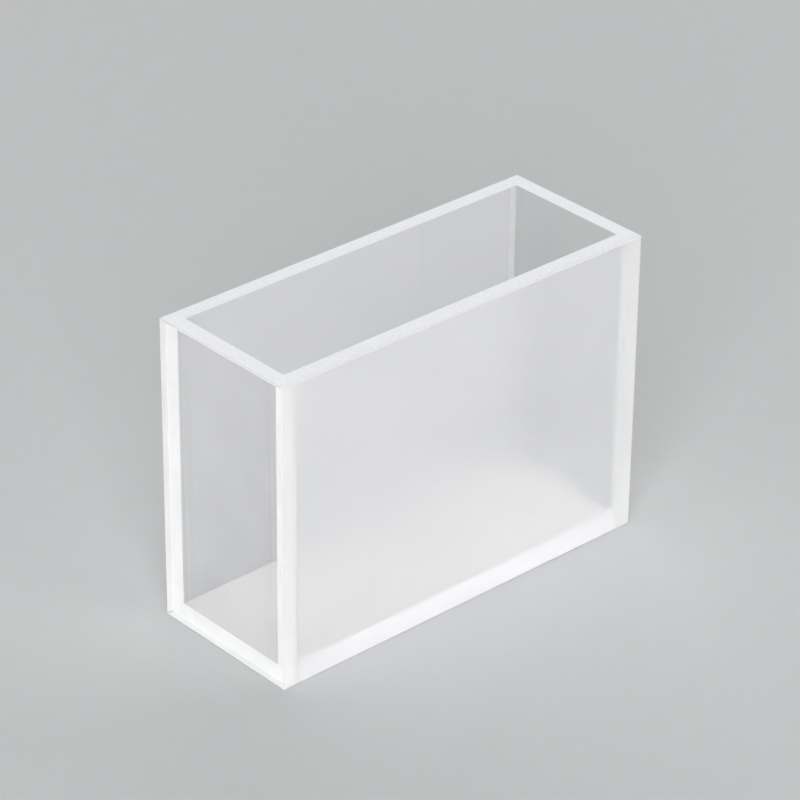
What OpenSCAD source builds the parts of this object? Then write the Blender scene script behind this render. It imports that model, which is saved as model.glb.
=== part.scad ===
// Rectangular quartz cuvette, open at the top.
// Five plates are cut, ground and fused face to face: two polished end windows run the full
// width, two broad walls with ground outer faces sit between them, and the base plate closes
// the bottom inside all four. The outer edges of the finished cell are then bevelled.
// Millimetres. +X is the light path, +Z is up, and the origin is under the middle of the base.

/* [Cavity] */
// Light path, measured between the inner faces of the two end windows
light_path = 30; // [5:0.5:60]
// Width of the cavity, between the inner faces of the two broad walls
cavity_width = 10; // [4:0.5:30]
// Depth of the cavity, from the rim down to the base plate
cavity_depth = 22; // [8:0.25:60]

/* [Plates] */
// Thickness of each polished end window
window_thick = 1.25; // [0.8:0.05:3]
// Thickness of each broad wall
wall_thick = 1.25; // [0.8:0.05:3]
// Thickness of the base plate
base_thick = 1.25; // [0.8:0.05:4]

/* [Edges] */
// How far the bevel is ground back from each outer edge of the cell
edge_bevel = 0.1; // [0.05:0.05:0.4]

/* [Hidden] */

outer_length = light_path + 2 * window_thick;
outer_width = cavity_width + 2 * wall_thick;
outer_height = cavity_depth + base_thick;

// How far the trimming block runs past the cell, so that no cut ends on a face
past = 1;

// A rectangle about the origin with its four corners cut off at 45 degrees.
module bevelled_rectangle(x_size, y_size) {
    x = x_size / 2;
    y = y_size / 2;
    b = edge_bevel;
    polygon([
        [x - b, -y], [x, b - y], [x, y - b], [x - b, y],
        [b - x, y], [-x, y - b], [-x, b - y], [b - x, -y]
    ]);
}

// The whole cell's outer form: a block with all twelve edges bevelled.
module bevelled_block() {
    translate([0, 0, outer_height / 2])
        intersection() {
            linear_extrude(outer_height, center = true)
                bevelled_rectangle(outer_length, outer_width);
            rotate([90, 0, 0])
                linear_extrude(outer_width + 2 * past, center = true)
                    bevelled_rectangle(outer_length, outer_height);
            rotate([90, 0, 90])
                linear_extrude(outer_length + 2 * past, center = true)
                    bevelled_rectangle(outer_width, outer_height);
        }
}

// One plate before its outer edges are ground: a box from its lowest corner, by its size.
module sawn_plate(corner, size) {
    translate(corner)
        cube(size);
}

// A polished end window: full width and full height, square to the light path.
// side is -1 for the left window and 1 for the right one.
module end_window(side) {
    intersection() {
        sawn_plate(
            [(side * (light_path + window_thick) - window_thick) / 2, -outer_width / 2, 0],
            [window_thick, outer_width, outer_height]
        );
        bevelled_block();
    }
}

// A broad wall: it fills the length between the windows and runs the full height.
// side is -1 for the front wall and 1 for the back one.
module broad_wall(side) {
    intersection() {
        sawn_plate(
            [-light_path / 2, (side * (cavity_width + wall_thick) - wall_thick) / 2, 0],
            [light_path, wall_thick, outer_height]
        );
        bevelled_block();
    }
}

module left_window() {
    color("lightsteelblue")
        end_window(-1);
}

module right_window() {
    color("lightsteelblue")
        end_window(1);
}

module front_wall() {
    color("whitesmoke")
        broad_wall(-1);
}

module back_wall() {
    color("whitesmoke")
        broad_wall(1);
}

// The base plate is let in between the windows and the walls, flush with their lower edges.
module base_plate() {
    color("gainsboro")
        sawn_plate(
            [-light_path / 2, -cavity_width / 2, 0],
            [light_path, cavity_width, base_thick]
        );
}

left_window();
right_window();
front_wall();
back_wall();
base_plate();
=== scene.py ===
import math

import bpy
import numpy as np
from mathutils import Matrix, Vector


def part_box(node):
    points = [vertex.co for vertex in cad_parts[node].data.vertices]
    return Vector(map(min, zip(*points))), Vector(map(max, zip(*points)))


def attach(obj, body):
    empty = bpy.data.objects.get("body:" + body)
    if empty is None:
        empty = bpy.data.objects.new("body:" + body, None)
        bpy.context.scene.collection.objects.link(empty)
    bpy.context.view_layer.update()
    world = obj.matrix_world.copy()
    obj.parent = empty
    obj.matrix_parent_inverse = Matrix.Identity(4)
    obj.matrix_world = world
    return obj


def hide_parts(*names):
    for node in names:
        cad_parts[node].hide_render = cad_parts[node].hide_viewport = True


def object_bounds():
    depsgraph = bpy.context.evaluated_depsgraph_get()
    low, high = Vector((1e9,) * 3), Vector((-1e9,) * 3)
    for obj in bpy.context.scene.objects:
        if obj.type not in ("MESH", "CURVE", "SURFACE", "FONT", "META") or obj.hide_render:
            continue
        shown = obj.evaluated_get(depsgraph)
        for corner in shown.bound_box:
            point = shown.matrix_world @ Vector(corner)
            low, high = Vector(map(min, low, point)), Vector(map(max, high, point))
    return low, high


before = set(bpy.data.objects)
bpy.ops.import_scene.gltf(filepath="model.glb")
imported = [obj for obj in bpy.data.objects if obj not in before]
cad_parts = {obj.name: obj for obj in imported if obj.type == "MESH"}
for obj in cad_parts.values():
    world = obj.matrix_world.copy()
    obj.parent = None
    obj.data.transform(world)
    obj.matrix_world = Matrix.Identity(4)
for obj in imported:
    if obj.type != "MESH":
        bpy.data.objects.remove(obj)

cad_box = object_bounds()

# ---------------------------------------------------------------------------------------------
# End windows
# Two plates of fused quartz, lapped and polished clear on both broad faces. They run the full
# width and height of the cell and close the ends of the walls and the base. Their narrow edges
# are ground flush with the walls after joining, and the cell's outer edges are bevelled.
# ---------------------------------------------------------------------------------------------

BEVEL = 0.1e-3  # setback of the ground bevel along the cell's outer edges
BEVEL_STEPS = 3
QUARTZ_IOR = 1.458
PIT_DEPTH = 0.03e-3  # how deep the grit's pits are
PIT_WIDTH = 0.2e-3  # how wide the pits are drawn
CLOUD_SWING = 0.03  # how far the clouds change the fractured share, either way
WINDOW_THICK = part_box("left_window")[1].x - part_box("left_window")[0].x
# The corner of the cavity, in plan, where x and y are positive.
INNER_CORNER = (cad_box[1].x - WINDOW_THICK, cad_box[1].y - WINDOW_THICK, 0.0)
SIDES = ("-x", "+x", "-y", "+y", "-z", "+z")


def linear(hex_colour):
    """A colour written as sRGB hex, as the linear red, green, blue and alpha that a shader takes.

    A channel c up to 0.04045 becomes c / 12.92, and a brighter one ((c + 0.055) / 1.055) ** 2.4."""
    channels = np.array([int(hex_colour[i:i + 2], 16) for i in (1, 3, 5)]) / 255
    curve = np.where(channels <= 0.04045, channels / 12.92, ((channels + 0.055) / 1.055) ** 2.4)
    return (*curve.tolist(), 1.0)


def add_node(tree, kind, inputs=None, **settings):
    """Adds a shader node. settings are its own properties, and inputs gives a value, or a socket to
    link, for each input by name or by number."""
    made = tree.nodes.new(kind)
    for name, value in settings.items():
        setattr(made, name, value)
    for key, value in (inputs or {}).items():
        if isinstance(value, bpy.types.NodeSocket):
            tree.links.new(value, made.inputs[key])
        else:
            made.inputs[key].default_value = value
    return made


def new_material(name):
    """An empty material, as its node tree, its output node and the socket of Object coordinates."""
    material = bpy.data.materials.new(name)
    material.use_nodes = True
    tree = material.node_tree
    tree.nodes.clear()
    output = add_node(tree, "ShaderNodeOutputMaterial")
    place = add_node(tree, "ShaderNodeTexCoord").outputs["Object"]
    return material, tree, output, place


def polished_quartz():
    """Fused quartz, lapped and polished: clear as water. What can just be seen on it are clouds about
    4 mm wide where the lap left a trace of haze, upright lines 0.2 mm wide within 1.5 mm of the fused
    corners, where the lap can't reach, and a few specks of dust up to 0.15 mm across."""
    material, tree, output, place = new_material("polished_fused_quartz")
    clouds = add_node(tree, "ShaderNodeTexNoise", {"Vector": place, "Scale": 1 / 4e-3, "Detail": 2.0})
    haze = add_node(tree, "ShaderNodeMapRange", {
        "Value": clouds.outputs["Fac"],
        "From Min": 0.35, "From Max": 0.65, "To Min": 0.0, "To Max": 0.2,
    })
    stretched = add_node(tree, "ShaderNodeMapping", {"Vector": place, "Scale": (1.0, 1.0, 0.01)})
    grooves = add_node(tree, "ShaderNodeTexNoise", {
        "Vector": stretched.outputs[0], "Scale": 1 / 0.2e-3, "Detail": 1.0,
    })
    lines = add_node(tree, "ShaderNodeMapRange", {
        "Value": grooves.outputs["Fac"],
        "From Min": 0.5, "From Max": 0.62, "To Min": 0.0, "To Max": 0.6,
    })
    mirrored = add_node(tree, "ShaderNodeVectorMath", {0: place}, operation="ABSOLUTE")
    from_corner = add_node(tree, "ShaderNodeVectorMath", {
        0: mirrored.outputs[0], 1: INNER_CORNER,
    }, operation="SUBTRACT")
    in_plan = add_node(tree, "ShaderNodeVectorMath", {
        0: from_corner.outputs[0], 1: (1.0, 1.0, 0.0),
    }, operation="MULTIPLY")
    distance = add_node(tree, "ShaderNodeVectorMath", {0: in_plan.outputs[0]}, operation="LENGTH")
    near_corner = add_node(tree, "ShaderNodeMapRange", {
        "Value": distance.outputs["Value"],
        "From Min": 0.0, "From Max": 1.5e-3, "To Min": 1.0, "To Max": 0.0,
    })
    marks = add_node(tree, "ShaderNodeMath", {
        0: lines.outputs[0], 1: near_corner.outputs[0], 2: haze.outputs[0],
    }, operation="MULTIPLY_ADD")
    dust = add_node(tree, "ShaderNodeTexVoronoi", {"Vector": place, "Scale": 1 / 1.4e-3})
    speck = add_node(tree, "ShaderNodeMapRange", {
        "Value": dust.outputs["Distance"],
        "From Min": 0.03, "From Max": 0.055, "To Min": 1.0, "To Max": 0.0,
    })
    dulled = add_node(tree, "ShaderNodeMath", {
        0: marks.outputs[0], 1: speck.outputs[0],
    }, operation="MAXIMUM")
    colour = add_node(tree, "ShaderNodeMix", {
        "Factor": dulled.outputs[0], 6: linear("#ffffff"), 7: linear("#ecedef"),
    }, data_type="RGBA")
    roughness = add_node(tree, "ShaderNodeMapRange", {
        "Value": dulled.outputs[0], "To Min": 0.0, "To Max": 0.25,
    })
    shader = add_node(tree, "ShaderNodeBsdfPrincipled", {
        "Base Color": colour.outputs[2],
        "Roughness": roughness.outputs[0],
        "IOR": QUARTZ_IOR,
        "Transmission Weight": 1.0,
    })
    tree.links.new(shader.outputs["BSDF"], output.inputs["Surface"])
    return material


def ground_quartz(name, colour, fractured, through, roughness, grain_and_pit_shade):
    """Fused quartz whose surface is broken by grit. The share fractured of it is cracked and scatters
    light, of which the share through goes on into the plate. The rest is rough glass.

    The grit's pits are 0.03 mm wide and deep, too fine to show, so they are drawn 0.2 mm wide, as bumps
    and as painted shade in the pits, which darkens what is scattered by up to the share that also sets
    the bumps. Clouds about 5 mm wide, where the lap pressed unevenly, change the fractured share a little."""
    material, tree, output, place = new_material(name)
    pits = add_node(tree, "ShaderNodeTexNoise", {
        "Vector": place, "Scale": 1 / PIT_WIDTH, "Detail": 2.0,
    })
    # Painted shade in the pits: a factor from 1 down to 1 less the grain share, which darkens the
    # scattered colour.
    painted_pit_shade = add_node(tree, "ShaderNodeMapRange", {
        "Value": pits.outputs["Fac"],
        "From Min": 0.3, "From Max": 0.7, "To Min": 1.0 - grain_and_pit_shade, "To Max": 1.0,
    })
    shade = add_node(tree, "ShaderNodeMix", {
        "Factor": 1.0, 6: linear(colour), 7: painted_pit_shade.outputs[0],
    }, data_type="RGBA", blend_type="MULTIPLY")
    clouds = add_node(tree, "ShaderNodeTexNoise", {"Vector": place, "Scale": 1 / 5e-3, "Detail": 2.0})
    share = add_node(tree, "ShaderNodeMapRange", {
        "Value": clouds.outputs["Fac"], "From Min": 0.3, "From Max": 0.7,
        "To Min": fractured - CLOUD_SWING, "To Max": min(fractured + CLOUD_SWING, 1.0),
    })
    bump = add_node(tree, "ShaderNodeBump", {
        "Height": pits.outputs["Fac"], "Strength": 5 * grain_and_pit_shade, "Distance": PIT_DEPTH,
    }).outputs["Normal"]
    glass = add_node(tree, "ShaderNodeBsdfPrincipled", {
        "Base Color": linear(colour),
        "Roughness": roughness,
        "IOR": QUARTZ_IOR,
        "Transmission Weight": 1.0,
        "Normal": bump,
    })
    back = add_node(tree, "ShaderNodeBsdfDiffuse", {"Color": shade.outputs[2], "Normal": bump})
    onward = add_node(tree, "ShaderNodeBsdfTranslucent", {"Color": shade.outputs[2], "Normal": bump})
    scatter = add_node(tree, "ShaderNodeMixShader", {
        0: through, 1: back.outputs[0], 2: onward.outputs[0],
    })
    surface = add_node(tree, "ShaderNodeMixShader", {
        0: share.outputs[0], 1: glass.outputs[0], 2: scatter.outputs[0],
    })
    tree.links.new(surface.outputs[0], output.inputs["Surface"])
    return material


# Coarse grit leaves the rims and the back edges almost white. The bevels have the same grit but are
# painted grey. The front edges are painted greyer and scatter less. Both are painted shade, where the
# front lamps light them more. The underside is as the saw left it. The numbers are the fractured share,
# the share of that which goes through, the roughness and the grain, which sets the bumps and the painted
# shade in the pits.
FINISHES = {
    "polished": polished_quartz(),
    "rim": ground_quartz("ground_quartz_rim", "#fbfcff", 0.95, 0.05, 0.5, 0.08),
    # Painted shade: a greyer, less scattering copy of the edge finish for the front edges, which the front
    # lamps light more.
    "front_edge": ground_quartz("ground_quartz_front_edge", "#f3f3f3", 0.5, 0.35, 0.32, 0.02),
    "back_edge": ground_quartz("ground_quartz_back_edge", "#fcfcfb", 0.96, 0.2, 0.34, 0.06),
    # Painted shade: the bevels are painted grey so that the lamps don't make them a bright line.
    "bevel": ground_quartz("ground_quartz_bevel_painted_shade", "#e5e5e6", 0.97, 0.15, 0.4, 0.08),
    "underside": ground_quartz("sawn_quartz_underside", "#ffffff", 1.0, 0.0, 0.5, 0.0),
}


def plate(name, low, high, outer, finish):
    """A quartz plate from corner low to corner high. finish gives the finish of some sides, and the
    others are finished as a rim. An edge between two of the outer sides gets the cell's bevel, and the
    other edges stay sharp, as they were ground flush or fused.

    The corner numbered 4 i + 2 j + k is at the high end in x where i is 1, and so on for j and k."""
    picks = np.indices((2, 2, 2)).reshape(3, -1).T
    corners = np.where(picks == 1, np.array(high), np.array(low))
    faces = [(0, 1, 3, 2), (4, 6, 7, 5), (0, 4, 5, 1), (2, 3, 7, 6), (0, 2, 6, 4), (1, 5, 7, 3)]
    mesh = bpy.data.meshes.new(name)
    mesh.from_pydata(corners.tolist(), [], faces)
    side_finish = [finish.get(side, "rim") for side in SIDES]
    kinds = ["bevel", *sorted(set(side_finish))]
    for kind in kinds:
        mesh.materials.append(FINISHES[kind])
    mesh.polygons.foreach_set("material_index", [kinds.index(kind) for kind in side_finish])

    # The two ends of an edge share two of their three picks, which name the sides that meet along it.
    ends = np.empty(len(mesh.edges) * 2, dtype=np.int32)
    mesh.edges.foreach_get("vertices", ends)
    ends = picks[ends.reshape(-1, 2)]
    shared = ends[:, 0] == ends[:, 1]
    side_numbers = 2 * np.arange(3) + ends[:, 0]
    is_outer = np.isin(SIDES, outer)[side_numbers] | ~shared
    weight = is_outer.all(axis=1).astype(float)
    mesh.attributes.new("bevel_weight_edge", "FLOAT", "EDGE").data.foreach_set("value", weight)

    piece = bpy.data.objects.new(name, mesh)
    bpy.context.scene.collection.objects.link(piece)
    bevel = piece.modifiers.new("ground edges", "BEVEL")
    bevel.limit_method = "WEIGHT"
    bevel.width = BEVEL
    bevel.segments = BEVEL_STEPS
    bevel.material = kinds.index("bevel")
    return piece


for side, node in (("-x", "left_window"), ("+x", "right_window")):
    low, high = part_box(node)
    window = plate(f"{node}_plate", low, high, (side, "-y", "+y", "-z", "+z"), {
        "-x": "polished", "+x": "polished", "-y": "front_edge", "+y": "back_edge", "-z": "underside",
    })
    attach(window, "root")
    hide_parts(node)

# ---------------------------------------------------------------------------------------------
# Broad walls
# Two plates of fused quartz between the windows. Their inner faces are polished, and their outer
# faces are ground with loose grit, which turns the long sides of the cell milky. Their ends are
# fused to the windows with a film of quartz powder.
# ---------------------------------------------------------------------------------------------

SEAM = 0.005e-3  # how far plates run into each other at a joint, to leave no film of air there


def sintered_powder():
    """The film of fine quartz powder that fuses one plate's ground end to the next plate: white, with
    soft mottling about 1 mm wide where it is thinner."""
    material, tree, output, place = new_material("sintered_powder_joint")
    mottle = add_node(tree, "ShaderNodeTexNoise", {"Vector": place, "Scale": 1 / 1e-3, "Detail": 3.0})
    white = add_node(tree, "ShaderNodeMix", {
        "Factor": mottle.outputs["Fac"], 6: linear("#fafafa"), 7: linear("#f0f0f0"),
    }, data_type="RGBA")
    shader = add_node(tree, "ShaderNodeBsdfDiffuse", {"Color": white.outputs[2]})
    tree.links.new(shader.outputs["BSDF"], output.inputs["Surface"])
    return material


FINISHES["face"] = ground_quartz("ground_quartz_face", "#fdfdfe", 0.36, 0.35, 0.3, 0.02)
FINISHES["joint"] = sintered_powder()

for side, inner, node in (("-y", "+y", "front_wall"), ("+y", "-y", "back_wall")):
    low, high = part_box(node)
    into_windows = Vector((SEAM, 0, 0))
    wall = plate(f"{node}_plate", low - into_windows, high + into_windows, (side, "-z", "+z"), {
        "-x": "joint", "+x": "joint", side: "face", inner: "polished", "-z": "underside",
    })
    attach(wall, "root")
    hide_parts(node)

# ---------------------------------------------------------------------------------------------
# Base plate
# A plate of fused quartz let in between the walls and windows, flush with their lower edges, and
# fused to all four with powder. It is ground on top and sawn below, so it isn't clear.
# ---------------------------------------------------------------------------------------------

FINISHES["cavity_floor"] = ground_quartz(
    "ground_quartz_cavity_floor", "#eaeae9", 0.9, 0.2, 0.4, 0.05,
)

low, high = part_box("base_plate")
all_round = Vector((SEAM, SEAM, 0))
base = plate("base_plate_plate", low - all_round, high + all_round, ("-z",), {
    "-x": "joint", "+x": "joint", "-y": "joint", "+y": "joint",
    "-z": "underside", "+z": "cavity_floor",
})
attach(base, "root")
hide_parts("base_plate")

# ---------------------------------------------------------------------------------------------
# Studio
# A sheet of matt pale grey card to stand on, soft white light from all round, and four square
# softboxes: two at the front left, one at the right and one at the back right.
# ---------------------------------------------------------------------------------------------

CARD_HALF = 1.0  # half the width of the card
CARD_GAP = 0.01e-3  # how far the card lies below the cell
LAMP_DISTANCE = 2.4
LAMP_SIZE = 1.6
ROOM_LIGHT = 0.25  # how bright the light from all round is, where 1 is white
BACKDROP = 0.52  # how bright the room behind the card looks, where 1 is white

floor_mesh = bpy.data.meshes.new("floor")
floor_mesh.from_pydata([
    (-CARD_HALF, -CARD_HALF, -CARD_GAP), (CARD_HALF, -CARD_HALF, -CARD_GAP),
    (CARD_HALF, CARD_HALF, -CARD_GAP), (-CARD_HALF, CARD_HALF, -CARD_GAP),
], [], [(0, 1, 2, 3)])
floor = bpy.data.objects.new("floor", floor_mesh)
bpy.context.scene.collection.objects.link(floor)
card, tree, output, place = new_material("matt_grey_card")
fibres = add_node(tree, "ShaderNodeTexNoise", {"Vector": place, "Scale": 1 / 2e-3, "Detail": 3.0})
colour = add_node(tree, "ShaderNodeMix", {
    "Factor": fibres.outputs["Fac"], 6: linear("#c6c7c8"), 7: linear("#c9cacb"),
}, data_type="RGBA")
shader = add_node(tree, "ShaderNodeBsdfPrincipled", {
    "Base Color": colour.outputs[2], "Roughness": 0.9, "Specular IOR Level": 0.2,
})
tree.links.new(shader.outputs["BSDF"], output.inputs["Surface"])
floor_mesh.materials.append(card)

world = bpy.data.worlds.new("studio")
bpy.context.scene.world = world
world.use_nodes = True
tree = world.node_tree
path = add_node(tree, "ShaderNodeLightPath").outputs
straight = add_node(tree, "ShaderNodeMath", {
    0: path["Is Camera Ray"], 1: path["Is Glossy Ray"],
}, operation="MAXIMUM")
seen = add_node(tree, "ShaderNodeMath", {
    0: straight.outputs[0], 1: path["Is Transmission Ray"],
}, operation="MAXIMUM")
strength = add_node(tree, "ShaderNodeMapRange", {
    "Value": seen.outputs[0], "To Min": ROOM_LIGHT, "To Max": BACKDROP,
})
tree.nodes["Background"].inputs["Color"].default_value = linear("#ffffff")
tree.links.new(strength.outputs[0], tree.nodes["Background"].inputs["Strength"])


def softbox(name, azimuth, elevation, brightness):
    """A square softbox that faces the cell, azimuth degrees round from the front, to the right if
    positive, and elevation degrees above the floor. brightness is how bright its face looks, where 1
    is white."""
    around, above = math.radians(azimuth), math.radians(elevation)
    towards = Vector((
        math.sin(around) * math.cos(above), -math.cos(around) * math.cos(above), math.sin(above),
    ))
    lamp = bpy.data.lights.new(name, "AREA")
    lamp.size = LAMP_SIZE
    lamp.energy = brightness * math.pi * LAMP_SIZE ** 2
    made = bpy.data.objects.new(name, lamp)
    made.location = towards * LAMP_DISTANCE
    made.rotation_euler = towards.to_track_quat("Z", "Y").to_euler()
    made.visible_camera = False
    bpy.context.scene.collection.objects.link(made)


softbox("front_left_box", -45, 15, 6.6)
softbox("front_left_high_box", -45, 45, 2.9)
softbox("right_box", 90, 15, 2.4)
softbox("back_right_box", 135, 15, 3.0)

# Light crosses many faces inside the plates. It gets enough bounces for that, and no filtering,
# which would lose part of it.
BOUNCES = 32
cycles = bpy.context.scene.cycles
cycles.blur_glossy = 0.0
for kind in ("max", "diffuse", "glossy", "transmission"):
    setattr(cycles, f"{kind}_bounces", BOUNCES)

# ---------------------------------------------------------------------------------------------
# Camera
# A long lens at the front left, looking down on the cell from near by, level but for a slight
# roll. The lens stands a little above and to the left of the line to the cell's middle.
# ---------------------------------------------------------------------------------------------

AZIMUTH = math.radians(-42.136)  # from the front
ELEVATION = math.radians(29.83)
ROLL = math.radians(0.567)
LENS = 167.95  # focal length in mm
DISTANCE = 257.08e-3
TO_THE_RIGHT = -0.275e-3
UPWARDS = 1.706e-3

back = Vector((
    math.sin(AZIMUTH) * math.cos(ELEVATION), -math.cos(AZIMUTH) * math.cos(ELEVATION), math.sin(ELEVATION),
))
level = Vector((math.cos(AZIMUTH), math.sin(AZIMUTH), 0))
upright = back.cross(level)
right = level * math.cos(ROLL) + upright * math.sin(ROLL)
up = upright * math.cos(ROLL) - level * math.sin(ROLL)
middle = (cad_box[0] + cad_box[1]) / 2
stand = middle + TO_THE_RIGHT * right + UPWARDS * up + DISTANCE * back
camera = bpy.data.objects.new("camera", bpy.data.cameras.new("camera"))
camera.data.lens = LENS
camera.data.clip_start = 0.01
camera.data.clip_end = 5.0
camera.matrix_world = Matrix((
    (right.x, up.x, back.x, stand.x),
    (right.y, up.y, back.y, stand.y),
    (right.z, up.z, back.z, stand.z),
    (0, 0, 0, 1),
))
bpy.context.scene.collection.objects.link(camera)
bpy.context.scene.camera = camera
bpy.context.scene.view_settings.view_transform = "Standard"
